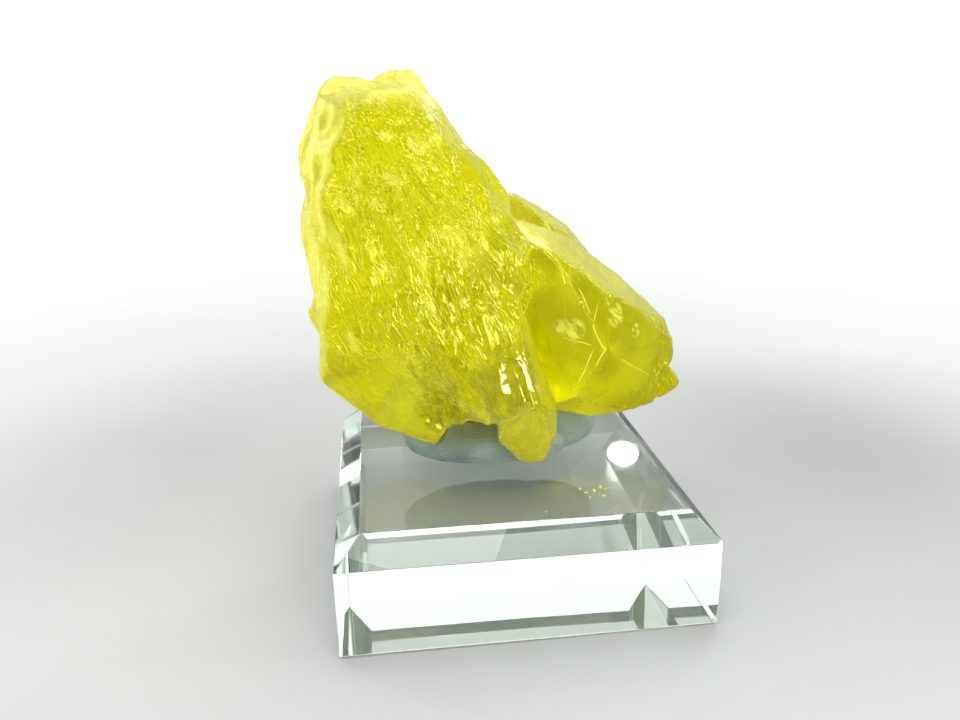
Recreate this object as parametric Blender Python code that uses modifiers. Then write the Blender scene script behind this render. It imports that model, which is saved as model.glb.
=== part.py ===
"""A native sulfur crystal group on a bevelled glass display block, held by a pad of mineral tack.

Run with: blender --background --python part.py
Metres, +Z up. The origin is the centre of the glass block's underside, and -Y is the front.
Driving dimensions are in millimetres and are scaled by MM when the meshes are made.
"""

import math

import bmesh
import bpy
import numpy as np
from mathutils import Euler, Matrix, Vector, noise
from mathutils.bvhtree import BVHTree

MM = 0.001
GAP = 0.3  # between solids that touch

# Glass block
BLOCK_SIDE = 50.0
BLOCK_HEIGHT = 15.8
BLOCK_BEVEL = 3.4  # the wide polished bevel round the top face
BLOCK_ARRIS = 0.35  # the small dulled edge round the underside

# Mineral tack: a pad pressed out round its middle, from its outline and its side's profile
TACK_FLOOR = BLOCK_HEIGHT + GAP
TACK_MIDDLE = (0.4, 4.6)
TACK_OUTLINE = [
    (-14.9, 3.4), (-14.2, 0.4), (-12.4, -1.9), (-11.2, -2.4), (-10.4, -3.3), (-7.8, -4.4), (-4.2, -5.1),
    (-0.5, -5.0), (3.3, -4.8), (6.9, -3.9), (8.9, -2.3), (9.6, -0.7), (10.6, -0.7), (12.1, 0.2),
    (14.2, 2.6), (15.3, 5.2), (15.6, 8.3), (13.9, 11.6), (9.6, 13.6), (6.4, 13.3), (4.6, 14.1),
    (0.2, 14.7), (-5.4, 14.2), (-10.2, 12.6), (-12.1, 10.9), (-13.6, 10.1), (-15.1, 7.0),
]
TACK_PROFILE = [  # share of the outline's reach, height above the pad's flat underside
    (0.93, 0.0), (0.985, 0.35), (1.015, 1.1), (1.02, 2.1), (0.985, 3.2), (0.925, 4.0), (0.84, 4.55),
    (0.72, 5.3), (0.56, 6.6), (0.38, 7.6), (0.19, 8.0),
]
TACK_ROUNDING = 0.03  # radians between the readings that round the outline's corners
TACK_AROUND = 108
THUMB_SIZE, THUMB_DEPTH, THUMB_LIFT = 3.6, 0.8, 0.6
THUMB_START = 0.25  # the pad is left flat up to here
TACK_FACES = 1500
IMPRINT_EXTRA, IMPRINT_VOXEL, IMPRINT_RATIO = 0.18, 0.4, 0.08

# Each crystal of the group is a convex body, given by the corners where its flat faces meet.
ETCHED_CRYSTAL = {
    "crest": [(-24.3, 4, 68.3), (-22.1, -3, 66.9), (-16.7, -5, 68.1), (-12.3, -4, 68.2),
              (-11.2, 3, 69.4), (-13, 12, 68.3), (-21.5, 12, 67.5)],
    "shoulder": [(-26.5, 4, 64.4), (-27.2, 3, 61.5), (-22.8, -6.4, 61.4), (-9.8, -6, 64),
                 (-6.9, 0, 64.1), (-8, 13, 62), (-24, 14, 61)],
    "waist": [(-27.6, 2, 54), (-24.2, -8.6, 54.3), (-13, -12, 50), (0.4, -6.5, 51.6),
              (0, -2, 54.8), (1, 12, 51), (-25.5, 14, 47)],
    "foot": [(-26.8, -1, 44), (-24.2, -10, 44.4), (-25, -9, 36.2), (-10.2, -13.6, 35.8),
             (-4.5, -13.8, 42), (0, -11.2, 43), (2.4, -8.5, 47.4), (2, -4, 34), (2, 9, 34),
             (-24, 12, 34), (-26.1, -3, 35)],
}
LEFT_LOBE = {
    "top": [(-25, -9.2, 37), (-26.2, -3, 36.1), (-10.2, -13.9, 36.7), (-5, -9, 36),
            (-24.5, 8, 36), (-4, 10, 36)],
    "side": [(-26.4, -3.4, 29.8), (-23.7, -4, 28.2), (-24, 6, 30), (-9.2, -10.2, 29.6)],
    "base": [(-20.8, -3, 24.3), (-17.6, -3, 21.7), (-14.2, -3, 20.2), (-11.6, -3.5, 20),
             (-10.4, -4, 19.2), (-9, -6, 22.3), (-18, 7, 22.5), (-8, 8, 21.5)],
}
PRONG = {
    "shoulder": [(-10.4, -13.8, 36.4), (-4.5, -14, 42.2), (-0.4, -11.8, 43.4)],
    "ridge": [(-0.3, -15.4, 35), (1.7, -16.4, 29.6), (-2.7, -14.5, 26.7), (-7.4, -14.4, 33)],
    "left_edge": [(-11.6, -12.8, 33.7), (-7.6, -12.5, 29.4), (-5.2, -11, 24.6)],
    "root": [(-6, -3, 24), (1, -3, 26), (1, -2, 40), (-9, -4, 40)],
}
PRONG_TIP = {
    "ridge": [(-1.4, -12.8, 40.3), (0.1, -15.5, 35), (2.2, -16.5, 29.3), (-2.6, -14.0, 26.2)],
    "side": [(0.2, -11.4, 43), (1.8, -8.6, 36.5), (4.5, -9.4, 30.7), (5.5, -11, 27.9), (6.1, -11, 25.3),
             (5.8, -10, 21.6)],
    "tip": [(4.6, -9, 18.0), (1.4, -9, 17.8), (-2.5, -11, 22.4)],
    "root": [(-1, -5, 40), (0, -3, 24), (3, -5, 24)],
}
HOLLOW_MASS = {
    "front": [(-12, -8.5, 31), (-6.7, -8, 29), (-5.6, -6, 23.4), (-9.6, -5.6, 23)],
    "root": [(-12, 4, 31), (0, 4, 31), (-2, 4, 21.4), (-9, 4, 21.4), (0, -5, 24)],
}
BACK_MASS = {
    "all": [(-6, 3, 45), (9, 3, 44), (9, 12.5, 40), (-4, 13, 42), (-5, 2, 25), (9, 2, 25.5),
            (7, 11.5, 27), (-5, 11.5, 26)],
}
CLEAR_CRYSTAL = {
    "ridge": [(0, -6, 50), (5.6, -7, 47.7), (10, -6.4, 44.7), (13.5, -6, 41.6), (19, -2.4, 38.3),
              (23.4, 1, 35.4)],
    "rim": [(2, -1, 51.4), (8.7, 1.5, 48.6), (14.8, 8, 44.2), (19.3, 7, 40.8), (22.6, 6, 37.7),
            (26, 4, 34.3)],
    "end": [(27.3, 3, 30.8), (26.9, 2, 28.9), (23.8, -0.6, 27.7), (22.8, -1.8, 22.7)],
    "front": [(13.6, -7.8, 33.9), (9.2, -7.6, 26.8)],
    "base": [(5, -6, 25), (7.8, -6, 25.1), (12.4, -5.2, 22.7), (17.6, -4.4, 23), (4, 6, 23), (18, 9, 24)],
    "back": [(2, 12, 47), (16, 13, 40), (22, 11, 32), (4, 13, 30)],
}
BACK_RIDGE = {
    "rim": [(1, 2, 54.6), (2.6, 6, 54.2), (6.7, 9, 51.7), (11.5, 10, 48.5), (14.8, 9, 44.4)],
    "face": [(6.7, 3, 50.4), (9.6, 4, 48.2), (11.4, 5, 46.8)],
    "root": [(0, 2, 44), (10, 4, 40), (0, 14, 48), (10, 14, 42), (0, 14, 36)],
}
RIGHT_LIP = {
    "edge": [(24.6, -0.4, 28.9), (27.9, 2.2, 25.8), (28.2, 1, 24.7), (26.8, -0.2, 24.1),
             (23.5, -1.2, 22.9)],
    "root": [(18, -3.2, 28), (18, -3, 22.4), (20, 7, 23), (25.5, 5, 25), (22, 6, 29)],
}
CREST_KNOB = {
    "top": [(-18.2, 6, 69.6), (-15.6, 5, 70.1), (-14.9, 5, 70.8), (-13.9, 5, 71.4), (-12.2, 4, 71.5),
            (-11.3, 3, 71), (-10.6, 3, 69.6), (-12, 8, 70.6), (-15, 8, 70.2)],
    "root": [(-19.4, 4, 68), (-10.2, 2.2, 68.2), (-11, 9, 67.6), (-18, 11, 67.6)],
}
CREST_LUMP = {
    "top": [(-24.6, 3.6, 68.4), (-24, 5, 69.4), (-22.6, 6.4, 70.3), (-20.6, 6, 69.8), (-18.4, 6, 69.7),
            (-17, 6, 69.8), (-18.6, 9.4, 69.7), (-22, 11, 69.2)],
    "root": [(-24.6, 3, 67.2), (-15.5, 4, 67.6), (-15.5, 11, 67.4), (-23.5, 12, 66.6)],
}
LEFT_KNOB = {
    "all": [(-27.7, -2, 39.9), (-27.9, -1.5, 38.4), (-26.6, -3, 36.3), (-26.6, -3.4, 41.6), (-25, -5.5, 39),
            (-25, -2, 43), (-24, -4, 37), (-24, 0, 36), (-25, 3, 40)],
}
HULLS = {
    "etched_crystal": ETCHED_CRYSTAL,
    "prong": PRONG,
    "prong_tip": PRONG_TIP,
    "left_lobe": LEFT_LOBE,
    "hollow_mass": HOLLOW_MASS,
    "back_mass": BACK_MASS,
    "clear_crystal": CLEAR_CRYSTAL,
    "back_ridge": BACK_RIDGE,
    "right_lip": RIGHT_LIP,
    "crest_knob": CREST_KNOB,
    "crest_lump": CREST_LUMP,
    "left_knob": LEFT_KNOB,
}

# Rhombic sulfur's unit cell, as a : b : c. Its faces are named by Miller indices.
CELL = Vector((0.813, 1.0, 1.903))
DIPYRAMID_FORMS = {  # indices: distance from the centre, as a share of the steep dipyramid's
    (1, 1, 1): 1.0,
    (1, 1, 3): 1.40,
    (0, 0, 1): 1.60,
    (0, 1, 1): 1.37,
}
# Whole crystals on the back of the group: centre, half height of the steep faces, tilt in degrees
BACK_CRYSTALS = {
    "back_tall": ((-15.0, 10.4, 47.5), 17.0, (24, -14, 24)),
    "back_middle": ((-3.4, 10.2, 36.5), 14.5, (-18, 24, -14)),
    "back_low": ((-17.0, 9.6, 31.5), 12.0, (30, 38, 52)),
    "back_right": ((10.5, 10.6, 34.0), 13.0, (-22, -40, 12)),
    "back_small": ((-19.0, 11.6, 58.0), 8.0, (40, 20, -30)),
}

# Etched relief: how much of it each crystal has, and how its ridges run
RELIEF_SHARE = {
    "etched_crystal": 1.0, "prong": 1.0, "hollow_mass": 1.0, "left_knob": 0.8, "crest_knob": 0.6,
    "crest_lump": 0.6, "right_lip": 0.5, "left_lobe": 0.25, "prong_tip": 0.12,
    "clear_crystal": 0.06, "back_ridge": 0.06, "back_mass": 0.6,
}
BACK_SHARE = 0.08
GRAIN = Vector((0.37, -0.09, -0.925)).normalized()
RIDGE_LENGTH, RIDGE_SPACING, RIDGE_HEIGHT = 11.0, 3.2, 0.85
LUMP_SIZE, LUMP_HEIGHT = 7.0, 0.55
STEP_SIZE, STEP_HEIGHT, STEPS, STEP_STEEPNESS = 9.0, 0.9, 4, 3
STEP_PLACE = Vector((5, 2, 9))  # sets the ledges apart from the lumps
VOXEL = 0.36
SOFTENING, BLENDING = 14, 8  # passes over the faces
SOFTENING_STEP, BLENDING_STEP = 0.6, 0.5
SULFUR_FACES = 7200


def clear_scene():
    for old in list(bpy.data.objects):
        bpy.data.objects.remove(old)


def collection(name):
    made = bpy.data.collections.new(name)
    bpy.context.scene.collection.children.link(made)
    return made


def material(name, colour, roughness, transmission=0.0, ior=1.5):
    made = bpy.data.materials.new(name)
    made.use_nodes = True
    shader = made.node_tree.nodes["Principled BSDF"]
    shader.inputs["Base Color"].default_value = (*colour, 1)
    shader.inputs["Roughness"].default_value = roughness
    shader.inputs["Metallic"].default_value = 0.0
    shader.inputs["Transmission Weight"].default_value = transmission
    shader.inputs["IOR"].default_value = ior
    return made


def add_object(name, bm, where):
    mesh = bpy.data.meshes.new(name)
    bm.to_mesh(mesh)
    bm.free()
    made = bpy.data.objects.new(name, mesh)
    where.objects.link(made)
    return made


def baked(name, source, where):
    """A new object that holds source as its modifiers leave it."""
    depsgraph = bpy.context.evaluated_depsgraph_get()
    mesh = bpy.data.meshes.new_from_object(source.evaluated_get(depsgraph))
    mesh.name = name
    made = bpy.data.objects.new(name, mesh)
    where.objects.link(made)
    return made


def set_aside(*objects):
    for each in objects:
        each.hide_render = True
        each.display_type = "WIRE"


def boolean(target, other, operation):
    step = target.modifiers.new(operation.lower(), "BOOLEAN")
    step.operation = operation
    step.solver = "EXACT"
    step.object = other


def hull_crystal(name, rings, where):
    """A convex crystal whose faces meet at the corners given in millimetres."""
    bm = bmesh.new()
    for ring in rings.values():
        for corner in ring:
            bm.verts.new(Vector(corner) * MM)
    hull = bmesh.ops.convex_hull(bm, input=bm.verts)
    loose = {v for v in hull["geom_interior"] + hull["geom_unused"] if isinstance(v, bmesh.types.BMVert)}
    bmesh.ops.delete(bm, geom=list(loose), context="VERTS")
    bmesh.ops.recalc_face_normals(bm, faces=bm.faces)
    return add_object(name, bm, where)


def dipyramid_crystal(name, centre, half_height, tilt, where):
    """A rhombic sulfur crystal: a block cut back to each face of its forms."""
    bm = bmesh.new()
    bmesh.ops.create_cube(bm, size=4 * half_height * MM)
    steep = Vector((1 / CELL.x, 1 / CELL.y, 1 / CELL.z))
    reach = half_height * MM * (1 / CELL.z) / steep.length
    for indices, share in DIPYRAMID_FORMS.items():
        for sign in range(8):
            signs = [1 if sign >> axis & 1 else -1 for axis in range(3)]
            normal = Vector([s * i / cell for s, i, cell in zip(signs, indices, CELL)]).normalized()
            cut = bmesh.ops.bisect_plane(
                bm, geom=bm.verts[:] + bm.edges[:] + bm.faces[:], dist=1e-7,
                plane_co=normal * reach * share, plane_no=normal, clear_outer=True)
            rim = [e for e in cut["geom_cut"] if isinstance(e, bmesh.types.BMEdge)]
            if rim:
                bmesh.ops.edgeloop_fill(bm, edges=rim)
    bmesh.ops.recalc_face_normals(bm, faces=bm.faces)
    turn = Euler([math.radians(angle) for angle in tilt]).to_matrix().to_4x4()
    bmesh.ops.transform(bm, matrix=Matrix.Translation(Vector(centre) * MM) @ turn, verts=bm.verts)
    return add_object(name, bm, where)


def crystal_group(workshop):
    """The crystals of the group, grown into one another and evenly faceted."""
    crystals = [hull_crystal(name, rings, workshop) for name, rings in HULLS.items()]
    for name, (centre, half_height, tilt) in BACK_CRYSTALS.items():
        crystals.append(dipyramid_crystal(name, centre, half_height, tilt, workshop))
    group = baked("group", crystals[0], workshop)
    for other in crystals[1:]:
        boolean(group, other, "UNION")
    remesh = group.modifiers.new("even_faces", "REMESH")
    remesh.mode = "VOXEL"
    remesh.voxel_size = VOXEL * MM
    set_aside(group, *crystals)
    return group, crystals


def relief_shares(positions, crystals):
    """How strongly each point is etched, from the crystal whose surface it lies on."""
    trees = []
    for each in crystals:
        bm = bmesh.new()
        bm.from_mesh(each.data)
        trees.append((RELIEF_SHARE.get(each.name, BACK_SHARE), BVHTree.FromBMesh(bm)))
        bm.free()
    shares = np.empty(len(positions))
    for i, point in enumerate(positions):
        shares[i] = min((tree.find_nearest(point)[3], share) for share, tree in trees)[1]
    return shares


def relief(point):
    """The height, in millimetres, of the etched surface over a point: lumps, ledges and long ridges."""
    p = point / MM
    lumps = noise.noise(p / LUMP_SIZE) * LUMP_HEIGHT
    slope = (noise.noise(p / STEP_SIZE + STEP_PLACE) * 0.5 + 0.5) * STEPS
    tread = slope - math.floor(slope)
    ledges = (math.floor(slope) + min(1.0, tread * STEP_STEEPNESS)) / STEPS * STEP_HEIGHT - STEP_HEIGHT / 2
    along = p.dot(GRAIN)
    across = (p - along * GRAIN) / RIDGE_SPACING + GRAIN * (along / RIDGE_LENGTH)
    ridges = (0.5 - 2 * abs(noise.noise(across))) * RIDGE_HEIGHT
    return lumps + ledges + ridges


def etch(thing, crystals):
    """Soften the etched crystals' arrises and raise their relief; the smooth crystals keep their planes."""
    mesh = thing.data
    count = len(mesh.vertices)
    co = np.empty(count * 3)
    mesh.vertices.foreach_get("co", co)
    co = co.reshape(-1, 3)
    ends = np.empty(len(mesh.edges) * 2, dtype=np.int64)
    mesh.edges.foreach_get("vertices", ends)
    first, second = ends.reshape(-1, 2).T
    degree = np.bincount(ends, minlength=count).astype(float)

    def neighbour_mean(values):
        return np.stack([
            (np.bincount(first, column[second], count) + np.bincount(second, column[first], count)) / degree
            for column in values.T], axis=1)

    shares = relief_shares([Vector(c) for c in co], crystals)[:, None]
    for _ in range(BLENDING):
        shares += (neighbour_mean(shares) - shares) * BLENDING_STEP
    for _ in range(SOFTENING):
        co += (neighbour_mean(co) - co) * shares * SOFTENING_STEP
    mesh.vertices.foreach_set("co", co.ravel())
    mesh.update()
    normals = np.array([v.normal for v in mesh.vertices])
    heights = np.array([relief(Vector(c)) for c in co])[:, None]
    co += normals * heights * shares * MM
    mesh.vertices.foreach_set("co", co.ravel())
    mesh.update()


def glass_block(where):
    """The display block: a square slab with its top edges bevelled at 45 degrees."""
    bm = bmesh.new()
    bmesh.ops.create_cube(bm, size=1.0)
    size = Vector((BLOCK_SIDE, BLOCK_SIDE, BLOCK_HEIGHT)) * MM
    bmesh.ops.scale(bm, vec=size, verts=bm.verts)
    bmesh.ops.translate(bm, vec=(0, 0, size.z / 2), verts=bm.verts)
    for level, width in ((size.z, BLOCK_BEVEL), (0.0, BLOCK_ARRIS)):
        rim = [e for e in bm.edges if all(abs(v.co.z - level) < 1e-6 for v in e.verts)]
        bmesh.ops.bevel(bm, geom=rim, offset=width * MM, offset_type="OFFSET", segments=1,
                        affect="EDGES", clamp_overlap=True)
    return add_object("glass_block", bm, where)


def outline_reach(turn):
    """How far the pad's outline lies from its middle at a turn, rounded between its corners."""
    bearings = []
    for x, y in TACK_OUTLINE:
        out = Vector((x - TACK_MIDDLE[0], y - TACK_MIDDLE[1]))
        bearings.append((math.atan2(out.y, out.x) % math.tau, out.length))
    bearings.sort()
    angles = [a for a, _ in bearings]
    reaches = [r for _, r in bearings]
    spread = [turn + step * TACK_ROUNDING for step in (-2, -1, 0, 1, 2)]
    return float(np.mean(np.interp(np.mod(spread, math.tau), angles, reaches, period=math.tau)))


def tack_pad(workshop):
    """The pad before the crystal is pressed into it: an outline lofted up a bulging side."""
    bm = bmesh.new()
    middle = Vector((*TACK_MIDDLE, 0))
    rows = []
    for share, height in TACK_PROFILE:
        row = []
        for i in range(TACK_AROUND):
            turn = math.tau * i / TACK_AROUND
            out = Vector((math.cos(turn), math.sin(turn), 0))
            spot = middle + out * outline_reach(turn) * share + Vector((0, 0, TACK_FLOOR + height))
            if height > THUMB_START:
                spot += (out + Vector((0, 0, THUMB_LIFT))) * noise.noise(spot / THUMB_SIZE) * THUMB_DEPTH
                spot.z = max(spot.z, TACK_FLOOR + THUMB_START)
            row.append(bm.verts.new(spot * MM))
        rows.append(row)
    for lower, upper in zip(rows, rows[1:]):
        for i in range(TACK_AROUND):
            j = (i + 1) % TACK_AROUND
            bm.faces.new((lower[i], lower[j], upper[j], upper[i]))
    bm.faces.new(list(reversed(rows[0])))
    peak = bm.verts.new((middle + Vector((0, 0, TACK_FLOOR + TACK_PROFILE[-1][1]))) * MM)
    for i in range(TACK_AROUND):
        bm.faces.new((rows[-1][i], rows[-1][(i + 1) % TACK_AROUND], peak))
    bmesh.ops.triangulate(bm, faces=[f for f in bm.faces if len(f.verts) > 3])
    return add_object("pad", bm, workshop)


def pressed_imprint(sulfur, workshop):
    """The sulfur grown by the gap, to press its shape into the pad."""
    imprint = baked("imprint", sulfur, workshop)
    grow = imprint.modifiers.new("gap", "DISPLACE")
    grow.strength = (GAP + IMPRINT_EXTRA) * MM
    grow.mid_level = 0.0
    even = imprint.modifiers.new("even_faces", "REMESH")
    even.mode = "VOXEL"
    even.voxel_size = IMPRINT_VOXEL * MM
    fewer = imprint.modifiers.new("fewer_faces", "DECIMATE")
    fewer.ratio = IMPRINT_RATIO
    set_aside(imprint)
    return imprint


def main():
    clear_scene()
    where = collection("sulfur_specimen")
    workshop = collection("cutters")

    group, crystals = crystal_group(workshop)
    etched = baked("etched_group", group, workshop)
    etch(etched, crystals)
    simplify = etched.modifiers.new("fewer_faces", "DECIMATE")
    simplify.ratio = SULFUR_FACES / sum(len(face.vertices) - 2 for face in etched.data.polygons)
    set_aside(etched)
    sulfur = baked("sulfur_crystal", etched, where)
    sulfur.data.materials.append(material("sulfur", (0.72, 0.66, 0.02), 0.18, 0.3, 1.98))

    block = glass_block(where)
    block.data.materials.append(material("block_glass", (0.93, 0.98, 0.95), 0.02, 1.0, 1.52))

    pad = tack_pad(workshop)
    pad.modifiers.new("fewer_faces", "DECIMATE").ratio = TACK_FACES / sum(
        len(face.vertices) - 2 for face in pad.data.polygons)
    set_aside(pad)
    tack = baked("mineral_tack", pad, where)
    boolean(tack, pressed_imprint(sulfur, workshop), "DIFFERENCE")
    tack.data.materials.append(material("tack", (0.22, 0.28, 0.32), 0.75))


main()
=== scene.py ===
import math

import bmesh
import bpy
import numpy as np
from mathutils import Matrix, Vector, noise
from mathutils.bvhtree import BVHTree


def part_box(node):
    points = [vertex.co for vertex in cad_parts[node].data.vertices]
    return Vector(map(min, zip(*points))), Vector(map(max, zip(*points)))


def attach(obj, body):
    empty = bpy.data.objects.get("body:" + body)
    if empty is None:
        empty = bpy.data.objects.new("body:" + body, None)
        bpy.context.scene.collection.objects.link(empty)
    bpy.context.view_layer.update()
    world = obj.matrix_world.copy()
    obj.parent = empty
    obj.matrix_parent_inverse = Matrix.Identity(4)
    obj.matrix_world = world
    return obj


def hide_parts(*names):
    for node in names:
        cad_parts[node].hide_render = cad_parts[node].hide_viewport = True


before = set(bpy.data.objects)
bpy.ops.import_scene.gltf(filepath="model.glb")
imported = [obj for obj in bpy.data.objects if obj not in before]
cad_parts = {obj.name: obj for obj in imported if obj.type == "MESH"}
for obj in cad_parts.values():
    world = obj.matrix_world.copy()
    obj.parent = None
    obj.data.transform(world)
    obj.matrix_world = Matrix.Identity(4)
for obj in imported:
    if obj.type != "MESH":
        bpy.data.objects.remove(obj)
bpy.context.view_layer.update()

bl_info = {
    "name": "Native Sulfur Specimen",
    "version": (1, 0, 0),
    "blender": (4, 5, 0),
    "location": "View3D > Sidebar > Specimen",
    "description": "Dresses a native sulfur crystal group, its mineral tack and its glass display block",
    "category": "Object",
}

MM = 0.001
BLOCK_LOW, BLOCK_HIGH = (Vector(corner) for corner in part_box("glass_block"))
TACK_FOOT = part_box("mineral_tack")[0][2]

# Sulfur: its colours, and how light meets it
CLEAR_COLOUR, CLEAR_SHADE = (0.885, 0.862, 0.0), (0.72, 0.695, 0.0)
# ETCHED_SHADE is painted shade, the colour of the grooves in the fine etching
ETCHED_COLOUR, ETCHED_SHADE = (1.0, 0.985, 0.0), (0.68, 0.66, 0.0)
PALE = (1.0, 0.99, 0.25)  # pale of frosted places, partly painted light, and painted highlights on hairlines, glint patches and the tops of etched lines
# painted shade: the darker colour of the hollow among the small crystals
HOLLOW_SHADE = (0.47, 0.46, 0.0)
LOW_COLOUR = (0.64, 0.63, 0.0)  # the body near the pad, where less light comes through
TRANSMISSION = 0.80
DENSITY = 60.0
CLEAR_ROUGH, ETCHED_ROUGH = 0.28, 0.06
COAT = 0.22
# Painted highlight: how strongly the etched lines glow
LINE_GLOW = 0.6
GLOW = 0.40  # strength of the painted glow, an emission on frosted places, hairlines, glint patches and etched lines standing in for the light they scatter back, which a clear body's shader leaves out

# Sulfur: its etching and its mesh
GRAIN = Vector((0.37, -0.09, -0.925)).normalized()  # the way the etched ridges run
SHORT_GRAIN = (0.75, -0.2, -0.63)  # the way the short lines near the crest run
CLOUD_GRAIN = (0.9, 0.1, 0.25)  # the way the clouds in the clear crystal lie
ETCH_STRENGTH = 1.0
RELIEF = 0.18  # height of the etching, in millimetres
HAIRLINE_WIDTH = 0.00012
DRUSE_SIZE = 1.3
HEAD_LEAN = 0.55  # how much the prong's head leans back, against the height of its waves
FACE_SEED, FACE_AREA = 1.2e-6, 9e-6  # square metres: a broad face's first triangle and its least area
FACE_TILT = math.cos(math.radians(8))
FACE_DEPTH = 0.16 * MM
ARRIS_SNAP = 0.18 * MM

# Sulfur: its places
WINDOW = Vector((-21.5, -10.9, 41.7)) * MM  # a small smooth face among the etching
HOLLOW = Vector((-9.0, -8.3, 25.5)) * MM  # a hollow lined with small rough crystals
PRONG_TOP = Vector((-1.6, -15.5, 32.0)) * MM  # the smooth wavy head of the prong
PRONG_TIP = Vector((2.0, -11.5, 21.0)) * MM
SPECK = (-0.0262, -0.0004, 0.0597)  # a dark grain in the left edge

# Tack: its thumb print's centre, and the distance between the print's ridges
THUMB_CENTRE = (-0.002, -0.012, 0.004)
THUMB_PITCH = 0.00036

GLASS_DENSITY = 6.5

# The floor: its own centre in y, and its colours near, far, in shade and as the object's gloss sees them
FLOOR_CENTRE = -0.26
FLOOR_LIGHT, FLOOR_DARK = (0.435, 0.448, 0.435), (0.40, 0.414, 0.405)
# painted light: FLOOR_FAR colours the floor lighter away from the block, where it fades into the bright
# backdrop
FLOOR_FAR = (0.76, 0.77, 0.76)
FLOOR_SHADED = (0.19, 0.20, 0.19)
FLOOR_MIRRORED, FLOOR_MIRRORED_BACK = (0.09, 0.09, 0.09), (0.45, 0.46, 0.45)
# Where the floor lies in soft shade: x, y, reach and depth
FLOOR_SHADES = ((0.068, 0.022, 0.075, 0.62), (-0.056, 0.045, 0.065, 0.36))

# The room: how bright it is each way, and as direct mirror reflections see it
WORLD_UP = (1.15, 1.15, 1.15)
WORLD_FRONT, WORLD_SIDE = (0.22, 0.22, 0.22), (0.6, 0.6, 0.6)
QUIET, MIRRORED_BACK = (0.06, 0.06, 0.06), (0.45, 0.46, 0.46)
WORLD_POWER = 1.14

# Hairlines on the clear crystal, where cleavage and arrises catch the light, painted there as pale glowing
# highlights: points in millimetres
HAIRLINES = (
    ((1.2, -7.2, 50.0), (4.9, -6.9, 47.8), (8.4, -6.6, 45.6), (12.0, -5.6, 43.3)),
    ((4.5, -6.8, 47.8), (5.7, -7.0, 46.6), (6.8, -7.1, 45.1), (7.5, -7.2, 43.4)),
    ((7.4, -7.1, 44.9), (9.1, -7.0, 43.0), (10.2, -7.2, 40.8), (11.1, -7.4, 39.0)),
    ((12.4, -6.5, 40.9), (11.5, -7.5, 37.4), (12.1, -7.6, 35.5), (13.0, -7.7, 34.1)),
    ((13.3, -7.7, 34.1), (9.3, -7.2, 26.2)),
    ((11.9, -7.7, 34.4), (9.6, -7.6, 29.3)),
    ((7.4, -7.3, 35.7), (11.7, -7.7, 34.4)),
    ((16.2, -6.0, 31.6), (21.8, -2.1, 27.6)),
    ((-1.6, -14.7, 39.1), (1.8, -16.1, 29.1)),
    ((-0.6, -14.8, 37.2), (3.6, -15.2, 28.6)),
    ((-2.5, -14.9, 27.2), (-0.1, -15.1, 28.0), (1.8, -16.1, 29.1)),
    ((-2.5, -14.9, 27.2), (-2.2, -11.6, 23.2), (1.3, -9.0, 18.1)),
)

# Patches on the clear crystal where inner fractures reflect light, painted pale and glowing: a point and a
# radius in millimetres
FRACTURE_GLINT_PATCHES = (
    (8.8, -7.4, 36.8, 1.8), (15.2, -5.5, 38.1, 2.0), (19.0, -3.1, 35.0, 1.2), (6.9, -7.3, 37.4, 1.2),
)

# Cracks where the putty was folded: start, end
PUTTY_CRACKS = (
    ((-14.6, -1.6, 20.6), (-13.0, -3.6, 16.6)),
    ((9.0, 0.8, 20.8), (10.4, -0.4, 16.6)),
)

# Chips off the block's front right corner: depth in millimetres, and the way they face
CHIPS = ((0.34, (1.0, -1.1, 0.5)), (0.42, (0.6, -1.0, 0.1)))

# Grains of sulfur shed on the glass: x, y and radius in millimetres
CRUMBS = (
    (8.5, -14.2, 0.20), (9.0, -15.5, 0.24), (10.25, -15.1, 0.30), (11.4, -14.1, 0.26), (12.0, -14.8, 0.20),
    (11.2, -16.7, 0.22), (9.3, -16.7, 0.16), (13.0, -13.7, 0.16), (2.6, -19.8, 0.13), (10.8, -15.9, 0.14),
    (9.7, -13.9, 0.12), (12.6, -15.9, 0.12), (-9.5, -18.6, 0.10), (7.4, -16.1, 0.11),
)


# Softboxes, all aimed at the crystal's middle: name, place, width and height in metres, watts
CRYSTAL_MIDDLE = (0, 0, 0.035)
SOFTBOXES = (
    ("key_softbox", (-0.06, -0.14, 0.42), (0.30, 0.20), 0.65),
    ("left_softbox", (-0.34, -0.20, 0.17), (0.06, 0.08), 0.10),
    ("back_left_softbox", (-0.36, 0.26, 0.25), (0.06, 0.06), 0.26),
    ("right_softbox", (0.38, -0.06, 0.18), (0.06, 0.08), 0.22),
    ("top_softbox", (0.02, 0.10, 0.42), (0.20, 0.20), 0.45),
    ("front_lamp", (0.10, -0.31, 0.095), (0.14, 0.12), 0.36),
    ("rim_lamp", (0.19, 0.24, 0.36), (0.07, 0.07), 0.25),
)
BOUNCES = 12  # light inside the glass and the crystal turns many times

# ------------------------------------------------------------------------------------------------
# Settings
# ------------------------------------------------------------------------------------------------

class SulfurSettings(bpy.types.PropertyGroup):
    """How light is coloured inside the sulfur crystal group"""

    depth_colour: bpy.props.FloatVectorProperty(
        name="Depth Colour", description="Colour that light takes on inside the crystal", subtype="COLOR",
        size=3, min=0, max=1, default=(0.97, 0.95, 0.05))


class TackSettings(bpy.types.PropertyGroup):
    """How the mineral tack is coloured"""

    colour: bpy.props.FloatVectorProperty(
        name="Colour", description="Colour of the putty", subtype="COLOR", size=3, min=0, max=1,
        default=(0.355, 0.445, 0.395))


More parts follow.
